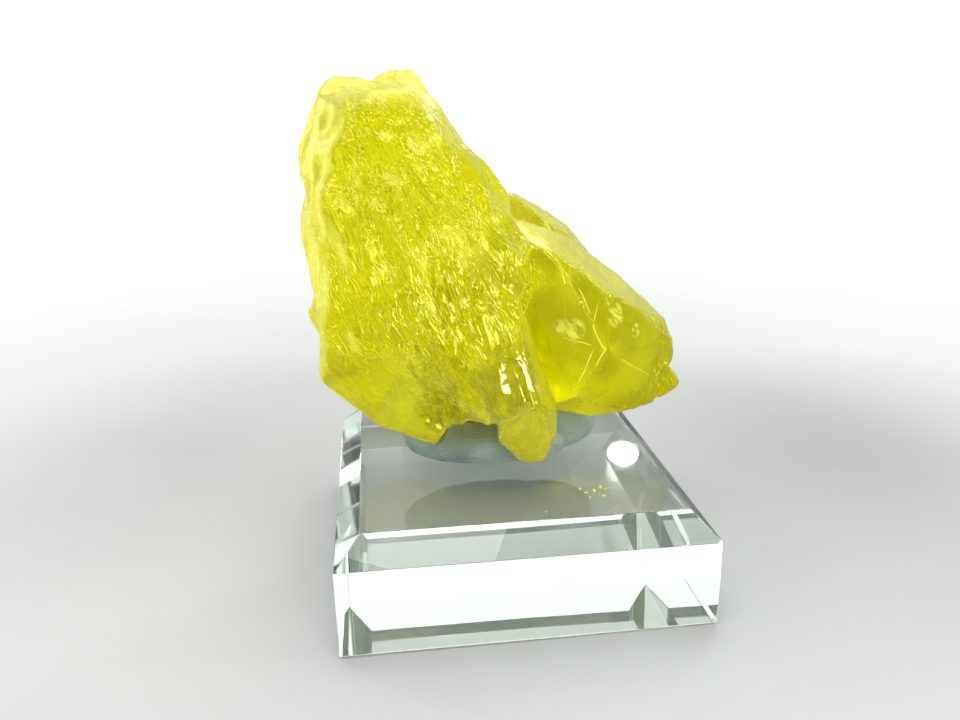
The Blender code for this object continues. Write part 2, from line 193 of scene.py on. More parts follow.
class BlockSettings(bpy.types.PropertyGroup):
    """How the glass display block is finished"""

    bevel: bpy.props.FloatProperty(
        name="Bevel", description="Width of the wide bevel round the top, down each side", default=0.0034,
        unit="LENGTH")
    foot: bpy.props.FloatProperty(
        name="Foot", description="Width of the small bevel round the underside", default=0.00035,
        unit="LENGTH")
    arris: bpy.props.FloatProperty(
        name="Arris", description="Width of the polished edge between two faces", default=0.00008,
        unit="LENGTH")
    depth_colour: bpy.props.FloatVectorProperty(
        name="Depth Colour", description="Colour that light takes on inside the glass", subtype="COLOR",
        size=3, min=0, max=1, default=(0.78, 0.97, 0.82))


class StageSettings(bpy.types.PropertyGroup):
    """Where the camera stands, how it is turned and its lens"""

    camera_place: bpy.props.FloatVectorProperty(
        name="Camera Place", description="Where the camera stands", subtype="TRANSLATION", size=3,
        default=(-0.0178, -0.1149, 0.0692))
    camera_turn: bpy.props.FloatProperty(
        name="Camera Turn", description="Turn of the camera to the right of the block's front",
        default=math.radians(7.14), subtype="ANGLE")
    camera_dip: bpy.props.FloatProperty(
        name="Camera Dip", description="How far the camera looks below the horizon",
        default=math.radians(18.41), subtype="ANGLE")
    camera_roll: bpy.props.FloatProperty(
        name="Camera Roll", description="Roll of the camera about its own axis",
        default=math.radians(-0.68), subtype="ANGLE")
    lens: bpy.props.FloatProperty(
        name="Lens", description="Focal length on a 36 mm wide sensor", default=31.2)


# ------------------------------------------------------------------------------------------------
# Helpers
# ------------------------------------------------------------------------------------------------

def deselect_all():
    if bpy.context.object and bpy.context.object.mode != "OBJECT":
        bpy.ops.object.mode_set(mode="OBJECT")
    bpy.ops.object.select_all(action="DESELECT")


def make_active(thing):
    deselect_all()
    thing.select_set(True)
    bpy.context.view_layer.objects.active = thing


def merged_copy(node, name):
    """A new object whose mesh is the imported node's, with its loose triangles joined up."""
    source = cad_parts[node]
    thing = bpy.data.objects.new(name, source.data.copy())
    thing.data.name = name
    thing.data.transform(source.matrix_world)
    bpy.context.scene.collection.objects.link(thing)
    thing.data.materials.clear()
    make_active(thing)
    bpy.ops.object.mode_set(mode="EDIT")
    bpy.ops.mesh.select_all(action="SELECT")
    bpy.ops.mesh.remove_doubles(threshold=1e-6)
    bpy.ops.object.mode_set(mode="OBJECT")
    return thing


class NodeLayout:
    """Places shader nodes in a tree and joins their sockets."""

    def __init__(self, tree):
        self.tree = tree

    def add(self, kind, **settings):
        node = self.tree.nodes.new(kind)
        for key, value in settings.items():
            setattr(node, key, value)
        return node

    def link(self, source, target):
        self.tree.links.new(source, target)

    def math(self, operation, first, second=None, clamp=False):
        node = self.add("ShaderNodeMath", operation=operation, use_clamp=clamp)
        for socket, value in zip(node.inputs, (first, second)):
            self.feed(socket, value)
        return node.outputs[0]

    def feed(self, socket, value):
        if value is None:
            return
        if isinstance(value, bpy.types.NodeSocket):
            self.link(value, socket)
        else:
            socket.default_value = value

    def noise(self, vector, scale, detail=4.0, roughness=0.5):
        node = self.add("ShaderNodeTexNoise")
        self.feed(node.inputs["Vector"], vector)
        node.inputs["Scale"].default_value = scale
        node.inputs["Detail"].default_value = detail
        node.inputs["Roughness"].default_value = roughness
        return node.outputs["Fac"]

    def dots(self, vector, scale):
        """The distance to the nearest of many scattered points."""
        node = self.add("ShaderNodeTexVoronoi", feature="F1")
        self.link(vector, node.inputs["Vector"])
        node.inputs["Scale"].default_value = scale
        return node.outputs["Distance"]

    def along(self, vector, direction, stretch):
        """The vector turned so that its Z runs in a direction, with patterns stretched that way."""
        node = self.add("ShaderNodeMapping", vector_type="TEXTURE")
        self.link(vector, node.inputs["Vector"])
        node.inputs["Rotation"].default_value = Vector(direction).to_track_quat("Z", "Y").to_euler()
        node.inputs["Scale"].default_value = (1, 1, stretch)
        return node.outputs[0]

    def near_point(self, vector, point, radius):
        """1 at a point, falling to 0 at a radius from it."""
        node = self.add("ShaderNodeVectorMath", operation="DISTANCE")
        self.link(vector, node.inputs[0])
        node.inputs[1].default_value = point
        return self.spread(node.outputs["Value"], 0.6 * radius, radius, 1.0, 0.0)

    def wobbled(self, vector, scale, amount):
        """The vector pushed about by soft noise."""
        push = self.add("ShaderNodeTexNoise")
        self.link(vector, push.inputs["Vector"])
        push.inputs["Scale"].default_value = scale
        push.inputs["Detail"].default_value = 1
        node = self.add("ShaderNodeVectorMath", operation="MULTIPLY_ADD")
        self.link(push.outputs["Color"], node.inputs[0])
        node.inputs[1].default_value = (amount, amount, amount)
        shifted = self.add("ShaderNodeVectorMath", operation="SUBTRACT")
        self.link(vector, shifted.inputs[0])
        shifted.inputs[1].default_value = (amount / 2, amount / 2, amount / 2)
        self.link(shifted.outputs[0], node.inputs[2])
        return node.outputs[0]

    def contours(self, value, width):
        """Thin lines, 1 at their middles, where a noise passes through its mean."""
        return self.spread(self.math("ABSOLUTE", self.math("SUBTRACT", value, 0.5)), 0.0, width, 1.0, 0.0)

    def blend(self, factor, first, second):
        node = self.add("ShaderNodeMix")
        for socket, value in ((0, factor), (2, first), (3, second)):
            self.feed(node.inputs[socket], value)
        return node.outputs[0]

    def group(self, tree, **values):
        node = self.add("ShaderNodeGroup", node_tree=tree)
        for name, value in values.items():
            self.feed(node.inputs[name.replace("_", " ").title()], value)
        return node

    def ramp(self, factor, *stops):
        node = self.add("ShaderNodeValToRGB")
        elements = node.color_ramp.elements
        while len(elements) < len(stops):
            elements.new(0.5)
        for element, (place, colour) in zip(elements, stops):
            element.position = place
            element.color = (*colour, 1) if len(colour) == 3 else colour
        self.link(factor, node.inputs["Fac"])
        return node.outputs["Color"]

    def spread(self, value, low, high, to_low=0.0, to_high=1.0):
        node = self.add("ShaderNodeMapRange")
        node.clamp = True
        self.feed(node.inputs["Value"], value)
        limits = {"From Min": low, "From Max": high, "To Min": to_low, "To Max": to_high}
        for name, number in limits.items():
            node.inputs[name].default_value = number
        return node.outputs["Result"]

    def mix_colour(self, factor, first, second):
        node = self.add("ShaderNodeMix", data_type="RGBA")
        self.feed(node.inputs["Factor"], factor)
        self.feed(node.inputs[6], first if isinstance(first, bpy.types.NodeSocket) else (*first, 1))
        self.feed(node.inputs[7], second if isinstance(second, bpy.types.NodeSocket) else (*second, 1))
        return node.outputs[2]

    def bump(self, height, strength, distance, normal=None):
        node = self.add("ShaderNodeBump")
        self.link(height, node.inputs["Height"])
        node.inputs["Strength"].default_value = strength
        node.inputs["Distance"].default_value = distance
        self.feed(node.inputs["Normal"], normal)
        return node.outputs["Normal"]


def new_material(name):
    made = bpy.data.materials.new(name)
    made.use_nodes = True
    made.node_tree.nodes.clear()
    layout = NodeLayout(made.node_tree)
    shader = layout.add("ShaderNodeBsdfPrincipled")
    output = layout.add("ShaderNodeOutputMaterial")
    layout.link(shader.outputs["BSDF"], output.inputs["Surface"])
    place = layout.add("ShaderNodeTexCoord").outputs["Object"]
    return made, layout, shader, output, place


# ------------------------------------------------------------------------------------------------
# Materials
# ------------------------------------------------------------------------------------------------

def new_group(name, inputs, outputs):
    """A shader node group and its layout, with its group input and output nodes."""
    tree = bpy.data.node_groups.new(name, "ShaderNodeTree")
    for label, kind, value in inputs:
        socket = tree.interface.new_socket(label, in_out="INPUT", socket_type=kind)
        if value is not None:
            socket.default_value = value
    for label, kind in outputs:
        tree.interface.new_socket(label, in_out="OUTPUT", socket_type=kind)
    lay = NodeLayout(tree)
    return tree, lay, lay.add("NodeGroupInput").outputs, lay.add("NodeGroupOutput").inputs


def grain_group():
    """Fine speckle over a surface, as a height, with its size and amount."""
    tree, lay, given, result = new_group(
        "surface_grain",
        (("Vector", "NodeSocketVector", None), ("Scale", "NodeSocketFloat", 1000.0),
         ("Amount", "NodeSocketFloat", 1.0)),
        (("Height", "NodeSocketFloat"),))
    speckle = lay.add("ShaderNodeTexNoise")
    lay.link(given["Vector"], speckle.inputs["Vector"])
    lay.link(given["Scale"], speckle.inputs["Scale"])
    speckle.inputs["Detail"].default_value = 3
    speckle.inputs["Roughness"].default_value = 0.62
    lay.link(lay.math("MULTIPLY", speckle.outputs["Fac"], given["Amount"]), result["Height"])
    return tree


def trace_group():
    """A mask of a hairline between two points, 1 on it and 0 at its width."""
    tree, lay, given, result = new_group(
        "hairline",
        (("Vector", "NodeSocketVector", None), ("Start", "NodeSocketVector", None),
         ("End", "NodeSocketVector", None), ("Width", "NodeSocketFloat", 0.0001)),
        (("Mask", "NodeSocketFloat"),))

    def vector(operation, first, second):
        node = lay.add("ShaderNodeVectorMath", operation=operation)
        lay.link(first, node.inputs[0])
        lay.feed(node.inputs["Scale"] if operation == "SCALE" else node.inputs[1], second)
        return node.outputs["Value" if operation in ("DOT_PRODUCT", "DISTANCE") else "Vector"]

    way = vector("SUBTRACT", given["End"], given["Start"])
    reach = vector("SUBTRACT", given["Vector"], given["Start"])
    reached, whole = vector("DOT_PRODUCT", reach, way), vector("DOT_PRODUCT", way, way)
    share = lay.math("DIVIDE", reached, whole, clamp=True)
    away = vector("DISTANCE", reach, vector("SCALE", way, share))
    mask = lay.math("SUBTRACT", 1.0, lay.math("DIVIDE", away, given["Width"]), clamp=True)
    lay.link(mask, result["Mask"])
    return tree


def blotch_group():
    """Soft blotches over a surface between two levels, for handling marks and uneven polish."""
    tree, lay, given, result = new_group(
        "handling",
        (("Vector", "NodeSocketVector", None), ("Scale", "NodeSocketFloat", 100.0),
         ("Clean", "NodeSocketFloat", 0.0), ("Marked", "NodeSocketFloat", 1.0)),
        (("Level", "NodeSocketFloat"),))
    patches = lay.add("ShaderNodeTexNoise")
    lay.link(given["Vector"], patches.inputs["Vector"])
    lay.link(given["Scale"], patches.inputs["Scale"])
    patches.inputs["Detail"].default_value = 5
    node = lay.add("ShaderNodeMapRange")
    lay.link(patches.outputs["Fac"], node.inputs["Value"])
    node.inputs["From Min"].default_value = 0.4
    node.inputs["From Max"].default_value = 0.68
    lay.link(given["Clean"], node.inputs["To Min"])
    lay.link(given["Marked"], node.inputs["To Max"])
    lay.link(node.outputs["Result"], result["Level"])
    return tree


def shared_group(name):
    """One of the node groups that several materials use, made at its first use."""
    makers = {"surface_grain": grain_group, "hairline": trace_group, "handling": blotch_group}
    return bpy.data.node_groups.get(name) or makers[name]()


def sulfur_material(settings, grain):
    made, lay, shader, output, place = new_material("sulfur")
    etched = lay.add("ShaderNodeAttribute", attribute_name="etched").outputs["Fac"]
    frost_and_painted_light = lay.add("ShaderNodeAttribute", attribute_name="frost_and_painted_light").outputs["Fac"]
    high = lay.add("ShaderNodeSeparateXYZ")
    lay.link(place, high.inputs[0])
    patches = lay.noise(place, 170, detail=1)
    edge = lay.math("MULTIPLY", patches, 0.016)
    grains = lay.spread(lay.math("ADD", high.outputs["Z"], edge), 0.054, 0.066)

    # Etching too fine for the mesh: thin raised lines along the grain, shorter near the crest
    bend = lay.wobbled(place, 260, 0.0014)
    long_lines = lay.contours(lay.noise(lay.along(bend, GRAIN, 6.5), 1500, detail=1.5), 0.035)
    short_lines = lay.contours(lay.noise(lay.along(bend, SHORT_GRAIN, 2.6), 2300, detail=2), 0.035)
    lines = lay.blend(grains, long_lines, short_lines)
    hairs = lay.noise(lay.along(bend, GRAIN, 7.0), 3600, detail=2)
    strong = lay.spread(lay.noise(lay.along(place, GRAIN, 2.5), 300, detail=2), 0.40, 0.60, 0.25, 1.0)
    strong = lay.math("MULTIPLY", strong, lay.spread(grains, 0, 1, 1.0, 0.8))
    head = lay.near_point(place, PRONG_TOP, 0.0060)
    cut = lay.math("MULTIPLY", lay.spread(etched, 0.1, 0.9), lay.math("SUBTRACT", 1.0, head))
    lines = lay.math("MULTIPLY", lay.math("MULTIPLY", lines, strong), cut)
    height = lay.math("ADD", lines, lay.math("MULTIPLY", lay.math("MULTIPLY", hairs, cut), 0.7))
    bumped = lay.bump(height, ETCH_STRENGTH, 0.00010)
    waves = lay.noise(lay.along(place, (0.5, 0, -0.86), 5.0), 420, detail=2)
    bumped = lay.bump(waves, 0.16, 0.0003, bumped)
    lay.link(bumped, shader.inputs["Coat Normal"])

    # Hairlines on the clear crystal, painted below as highlights, and the fine roughness of frosted places
    wavy = lay.wobbled(place, 330, 0.0005)
    hair_group = shared_group("hairline")
    mask = None
    for line in HAIRLINES:
        for start, end in zip(line, line[1:]):
            one = lay.group(hair_group, vector=wavy, start=Vector(start) * MM, end=Vector(end) * MM,
                            width=HAIRLINE_WIDTH).outputs["Mask"]
            mask = lay.math("MAXIMUM", mask, one) if mask else one
    traces = lay.spread(mask, 0.0, 0.6)
    patchy = lay.noise(lay.along(place, (0.8, 0.2, -0.5), 3.0), 1500, detail=4)
    speckle = lay.group(grain, vector=place, scale=3400.0, amount=frost_and_painted_light)
    bumped = lay.bump(speckle.outputs["Height"], 0.8, 0.0002, bumped)
    lay.link(bumped, shader.inputs["Normal"])

    # Colour: deeper in soft clouds, with painted shade in the grooves; pale where frosted, and painted
    # highlights and glow on frost marks, hairlines, patches and etched lines
    cloudy = lay.noise(lay.along(place, CLOUD_GRAIN, 2.0), 330, detail=4, roughness=0.6)
    clouds = lay.spread(cloudy, 0.35, 0.65)
    clear = lay.mix_colour(clouds, CLEAR_COLOUR, CLEAR_SHADE)
    # Painted shade: the grooves of the fine etching are coloured darker than its ridges
    rich = lay.mix_colour(lay.spread(hairs, 0.34, 0.54), ETCHED_SHADE, ETCHED_COLOUR)
    tint = lay.mix_colour(etched, clear, rich)
    # Painted highlight: the tops of the etched lines are coloured paler
    tint = lay.mix_colour(lay.math("MULTIPLY", lines, 0.75), tint, PALE)
    # Painted light: frost marks and the glint patches are painted pale here, and glow below
    frost_and_glint_patches = lay.math("MULTIPLY", frost_and_painted_light, lay.spread(patchy, 0.36, 0.62, 0.66, 1.0))
    ragged = lay.spread(patchy, 0.42, 0.58, 0.0, 0.75)
    for x, y, z, radius in FRACTURE_GLINT_PATCHES:
        near = lay.near_point(wavy, (x * MM, y * MM, z * MM), radius * MM)
        frost_and_glint_patches = lay.math("MAXIMUM", frost_and_glint_patches, lay.math("MULTIPLY", near, ragged))
    # Painted highlight: the hairlines are painted pale along with the frost and patches
    pale = lay.math("MAXIMUM", frost_and_glint_patches, lay.math("MULTIPLY", traces, 0.9))
    tint = lay.mix_colour(pale, tint, PALE)
    low = lay.spread(high.outputs["Z"], 0.050, 0.024, 0.0, 0.9)
    low = lay.math("MULTIPLY", low, lay.math("SUBTRACT", 1.0, lay.near_point(place, PRONG_TIP, 0.009)))
    tint = lay.mix_colour(low, tint, LOW_COLOUR)
    # Painted shade: the hollow among the small crystals is coloured darker
    tint = lay.mix_colour(lay.near_point(place, HOLLOW, 0.0060), tint, HOLLOW_SHADE)
    tint = lay.mix_colour(lay.near_point(place, SPECK, 0.00032), tint, (0.012, 0.01, 0.004))
    lay.link(tint, shader.inputs["Base Color"])
    lay.link(lay.spread(etched, 0, 1, CLEAR_ROUGH, ETCHED_ROUGH), shader.inputs["Roughness"])
    # Painted light: frosted places, hairlines, patches and etched lines glow pale yellow, though they are
    # no lamp
    glow = lay.math("MAXIMUM", pale, lay.math("MULTIPLY", lines, LINE_GLOW))
    lay.link(lay.mix_colour(glow, (0, 0, 0), (1.0, 0.98, 0.22)), shader.inputs["Emission Color"])
    shader.inputs["Emission Strength"].default_value = GLOW
    shader.inputs["IOR"].default_value = 1.96
    shader.inputs["Specular Tint"].default_value = (1.0, 0.98, 0.14, 1)
    shader.inputs["Transmission Weight"].default_value = TRANSMISSION
    shader.inputs["Subsurface Weight"].default_value = 0.4
    shader.inputs["Subsurface Radius"].default_value = (1.0, 0.95, 0.03)
    shader.inputs["Subsurface Scale"].default_value = 0.003
    shader.inputs["Sheen Weight"].default_value = 0.2
    shader.inputs["Sheen Roughness"].default_value = 0.35
    shader.inputs["Sheen Tint"].default_value = (1.0, 0.99, 0.12, 1)
    coat = lay.math("ADD", lay.spread(etched, 0, 1, 0.08, COAT), lay.math("MULTIPLY", pale, 0.12))
    coat = lay.math("ADD", coat, lay.math("MULTIPLY", lines, 0.8))
    coat = lay.math("ADD", coat, lay.math("MULTIPLY", head, 0.8), clamp=True)
    lay.link(coat, shader.inputs["Coat Weight"])
    shader.inputs["Coat Roughness"].default_value = 0.07
    shader.inputs["Coat IOR"].default_value = 1.8
    inside = lay.add("ShaderNodeVolumeAbsorption")
    inside.inputs["Color"].default_value = (*settings.depth_colour, 1)
    inside.inputs["Density"].default_value = DENSITY
    lay.link(inside.outputs[0], output.inputs["Volume"])
    return made


def tack_material(settings, grain, handling):
    made, lay, shader, output, place = new_material("tack")
    lay.link(lay.group(handling, vector=place, scale=420.0, clean=0.72, marked=0.5).outputs["Level"],
             shader.inputs["Roughness"])
    shader.inputs["Subsurface Weight"].default_value = 0.08
    shader.inputs["Subsurface Radius"].default_value = (0.9, 1.0, 0.9)
    shader.inputs["Subsurface Scale"].default_value = 0.0006

    # Ridges that a thumb left, in arcs round a point below the pad's front
    print_centre = lay.add("ShaderNodeVectorMath", operation="DISTANCE")
    swirl = lay.noise(place, 150, detail=1)
    lay.link(place, print_centre.inputs[0])
    print_centre.inputs[1].default_value = THUMB_CENTRE
    ring = lay.math("ADD", print_centre.outputs["Value"], lay.math("MULTIPLY", swirl, 0.0022))
    ridges = lay.math("SINE", lay.math("MULTIPLY", ring, math.tau / THUMB_PITCH))
    ridges = lay.math("MULTIPLY", ridges, lay.spread(lay.noise(place, 90, detail=1), 0.40, 0.55))
    ridges = lay.math("MULTIPLY", ridges, lay.spread(print_centre.outputs["Value"], 0.018, 0.023, 1.0, 0.0))
    bumped = lay.bump(ridges, 0.9, 0.00007)

    # Colour: blotchy, with pale mineral flecks, and painted shade in the print's grooves
    shades = lay.group(handling, vector=place, scale=210.0, clean=0.0, marked=1.0).outputs["Level"]
    colour = lay.mix_colour(shades, settings.colour, [c * 0.82 for c in settings.colour])
    groove_shade = lay.spread(ridges, -1.0, 0.2, 0.4, 0.0)
    colour = lay.mix_colour(groove_shade, colour, [c * 0.45 for c in settings.colour])
    flecks = lay.spread(lay.dots(place, 2600), 0.10, 0.20, 1.0, 0.0)
    colour = lay.mix_colour(lay.math("MULTIPLY", flecks, 0.35), colour, (0.48, 0.53, 0.50))
    lay.link(colour, shader.inputs["Base Color"])
    pits = lay.group(grain, vector=place, scale=2300.0, amount=1.0).outputs["Height"]
    lay.link(lay.bump(pits, 0.5, 0.00012, bumped), shader.inputs["Normal"])
    return made


def glass_material(settings, handling):
    made, lay, shader, output, place = new_material("block_glass")
    shader.inputs["Base Color"].default_value = (0.985, 1.0, 0.99, 1)
    shader.inputs["IOR"].default_value = 1.52
    shader.inputs["Transmission Weight"].default_value = 1.0
    high = lay.add("ShaderNodeSeparateXYZ")
    lay.link(place, high.inputs[0])
    top = lay.spread(high.outputs["Z"], BLOCK_HIGH.z - 0.2 * MM, BLOCK_HIGH.z - 0.1 * MM)
    wiped = lay.along(place, (0.8, 0.6, 0), 2.5)
    smears = lay.group(handling, vector=wiped, scale=130.0, clean=0.02, marked=0.09)
    lay.link(lay.math("MULTIPLY", smears.outputs["Level"], top), shader.inputs["Roughness"])
    polish = lay.noise(place, 60, detail=1)
    lay.link(lay.bump(polish, 0.05, 0.0004), shader.inputs["Normal"])
    inside = lay.add("ShaderNodeVolumeAbsorption")
    inside.inputs["Color"].default_value = (*settings.depth_colour, 1)
    inside.inputs["Density"].default_value = GLASS_DENSITY
    lay.link(inside.outputs[0], output.inputs["Volume"])
    return made


def table_material(grain, handling):
    made, lay, shader, output, place = new_material("table")
    shades = lay.group(handling, vector=place, scale=7.0, clean=0.0, marked=1.0).outputs["Level"]
    path = lay.add("ShaderNodeLightPath")
    gloss = lay.math("MULTIPLY", path.outputs["Is Reflection Ray"], path.outputs["Is Glossy Ray"])

    def distance(point):
        node = lay.add("ShaderNodeVectorMath", operation="DISTANCE")
        lay.link(place, node.inputs[0])
        node.inputs[1].default_value = point
        return node.outputs["Value"]

    colour = lay.mix_colour(shades, FLOOR_LIGHT, FLOOR_DARK)
    for x, y, reach, depth in FLOOR_SHADES:
        away = distance((x, y - FLOOR_CENTRE, 0))
        colour = lay.mix_colour(lay.spread(away, 0, reach, depth, 0), colour, FLOOR_SHADED)
    # Painted light: the floor is coloured lighter away from the block
    colour = lay.mix_colour(lay.spread(distance((0, -FLOOR_CENTRE, 0)), 0.09, 0.36), colour, FLOOR_FAR)
    parts = lay.add("ShaderNodeSeparateXYZ")
    lay.link(place, parts.inputs[0])
    behind = lay.spread(parts.outputs["Y"], 0.06 - FLOOR_CENTRE, 0.30 - FLOOR_CENTRE)
    mirrored = lay.mix_colour(behind, FLOOR_MIRRORED, FLOOR_MIRRORED_BACK)
    lay.link(lay.mix_colour(gloss, colour, mirrored), shader.inputs["Base Color"])
    lay.link(lay.group(handling, vector=place, scale=30.0, clean=0.14, marked=0.24).outputs["Level"],
             shader.inputs["Roughness"])
    shader.inputs["Specular IOR Level"].default_value = 0.0
    fine = lay.group(grain, vector=place, scale=900.0, amount=1.0).outputs["Height"]
    lay.link(lay.bump(fine, 0.05, 0.0001), shader.inputs["Normal"])
    return made


# ------------------------------------------------------------------------------------------------
# Pieces
# ------------------------------------------------------------------------------------------------

def read_points(mesh):
    co = np.empty(len(mesh.vertices) * 3)
    mesh.vertices.foreach_get("co", co)
    return co.reshape(-1, 3)


def write_points(mesh, co):
    mesh.vertices.foreach_set("co", co.ravel())
    mesh.update()


def edge_ends(mesh):
    ends = np.empty(len(mesh.edges) * 2, dtype=np.int64)
    mesh.edges.foreach_get("vertices", ends)
    return ends.reshape(-1, 2).T


def neighbour_mean(mesh):
    """A function that averages values over each point's neighbours."""
    count = len(mesh.vertices)
    first, second = edge_ends(mesh)
    degree = (np.bincount(first, minlength=count) + np.bincount(second, minlength=count)).astype(float)

    def mean(values):
        columns = values.reshape(count, -1).T
        sums = [np.bincount(first, c[second], count) + np.bincount(second, c[first], count)
                for c in columns]
        return (np.stack(sums, axis=1) / degree[:, None]).reshape(values.shape)

    return mean


def segment_distance(co, start, end):
    """How far each point lies from the line between two points."""
    start, way = np.array(start), np.array(end) - np.array(start)
    share = np.clip((co - start) @ way / (way @ way), 0, 1)
    return np.linalg.norm(co - start - share[:, None] * way, axis=1)


def finish_piece(piece, smooth=None, replaces=None):
    """Smooth a finished piece up to an angle, and tell the frame what it is."""
    make_active(piece)
    if smooth:
        bpy.ops.object.shade_smooth_by_angle(angle=math.radians(smooth))
    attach(piece, "root")
    if replaces:
        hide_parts(replaces)


def voxel_remesh(piece, size):
    make_active(piece)
    remesh = piece.modifiers.new("even_faces", "REMESH")
    remesh.mode = "VOXEL"
    remesh.voxel_size = size
    bpy.ops.object.modifier_apply(modifier=remesh.name)


def select_edges(piece, test):
    """Enter edit mode with only the edges whose two ends pass a test selected."""
    make_active(piece)
    bpy.ops.object.mode_set(mode="EDIT")
    bpy.ops.mesh.select_mode(type="EDGE")
    bpy.ops.mesh.select_all(action="DESELECT")
    bm = bmesh.from_edit_mesh(piece.data)
    for edge in bm.edges:
        edge.select_set(all(test(v.co) for v in edge.verts))
    bmesh.update_edit_mesh(piece.data)


def smoothstep(value, low, high):
    t = np.clip((value - low) / (high - low), 0, 1)
    return t * t * (3 - 2 * t)


def broad_faces(source):
    """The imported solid's flat crystal faces: each triangle's face number or -1, and their planes."""
    count = len(source.polygons)
    normals = [p.normal.copy() for p in source.polygons]
    areas = [p.area for p in source.polygons]
    corners = [[source.vertices[v].co for v in p.vertices] for p in source.polygons]
    beside = {}
    for polygon in source.polygons:
        for key in polygon.edge_keys:
            beside.setdefault(key, []).append(polygon.index)
    links = [[] for _ in range(count)]
    for pair in beside.values():
        if len(pair) == 2:
            links[pair[0]].append(pair[1])
            links[pair[1]].append(pair[0])
    face_of = np.full(count, -1)
    planes = []
    for seed in sorted(range(count), key=lambda i: -areas[i]):
        if face_of[seed] >= 0 or areas[seed] < FACE_SEED:
            continue
        normal, point = normals[seed], sum(corners[seed], Vector()) / 3
        for _ in range(2):
            found, edge = {seed}, [seed]
            while edge:
                for other in links[edge.pop()]:
                    if other in found or face_of[other] >= 0 or normals[other].dot(normal) < FACE_TILT:
                        continue
                    if max(abs((c - point).dot(normal)) for c in corners[other]) > FACE_DEPTH:
                        continue
                    found.add(other)
                    edge.append(other)
            total = sum(areas[i] for i in found)
            normal = sum((normals[i] * areas[i] for i in found), Vector()).normalized()
            point = sum((sum(corners[i], Vector()) / 3 * areas[i] for i in found), Vector()) / total
        if total > FACE_AREA:
            face_of[list(found)] = len(planes)
            planes.append((point, normal))
    return face_of, planes


def flatten_faces(co, face, planes, first, second):
    """Move the points of each broad face onto its plane, and those beside another face onto both."""
    place = np.array([p for p, _ in planes])
    normal = np.array([n for _, n in planes])
    on = face >= 0
    away = np.einsum("ij,ij->i", co[on] - place[face[on]], normal[face[on]])
    co[on] -= normal[face[on]] * away[:, None]
    crossing = (face[first] >= 0) & (face[second] >= 0) & (face[first] != face[second])
    for a, b in zip(np.concatenate([first[crossing], second[crossing]]),
                    np.concatenate([second[crossing], first[crossing]])):
        own, other = normal[face[a]], normal[face[b]]
        along = other - own * own.dot(other)
        size = np.linalg.norm(along)
        if size < 0.2:
            continue
        step = -(co[a] - place[face[b]]).dot(other) / size
        if abs(step) < ARRIS_SNAP:
            co[a] += along / size * step


def cells(p, across_size, along_size):
    """A net of long etch cells, 0 in the grooves between them and 1 on their tops."""
    along = p.dot(GRAIN)
    sway = Vector((noise.noise(p / 9), noise.noise(p / 9 + Vector((7, 0, 0))), 0)) * 1.6
    spot = (p - along * GRAIN + sway) / across_size + GRAIN * (along / along_size)
    near, far = noise.voronoi(spot)[0][:2]
    return 0.65 * min(1.0, (far - near) * 1.6) + 0.35 * (1 - near)


def etched_height(p):
    """Height of the fine etching over a point, -1 to 1: long cells, with round grains towards the crest."""
    grains = min(1.0, max(0.0, (p.z - 50) / 12 + noise.noise(p / 6) * 0.6))
    long_cells = cells(p, 1.5, 4.6) * 0.5 + cells(p + Vector((31, 7, 3)), 0.72, 2.6) * 0.5
    round_cells = cells(p, 0.8, 1.3)
    return ((1 - grains) * long_cells + grains * (0.3 + round_cells * 0.35)) * 2 - 1


def head_waves(p):
    """Relief of the prong's smooth head at p, in millimetres."""
    return noise.noise(p / 1.9) + 0.35 * noise.noise(p / 0.8)


def fold_depth(p):
    """Depth of the putty's folds at p, in millimetres."""
    return max(0.0, 0.25 - abs(noise.noise(p / 3.4 + Vector((9, 0, 0)))))


def druse_height(p):
    """Height of small rough crystals over a point, 0 to 1: flat-topped cells, each tilted its own way."""
    seed = noise.voronoi(p / DRUSE_SIZE)[1][0]
    tilt = noise.noise_vector(seed * 3.7) * 1.6
    return max(0.0, 0.6 + 0.6 * noise.noise(seed * 5.3) + (p / DRUSE_SIZE - seed).dot(tilt))


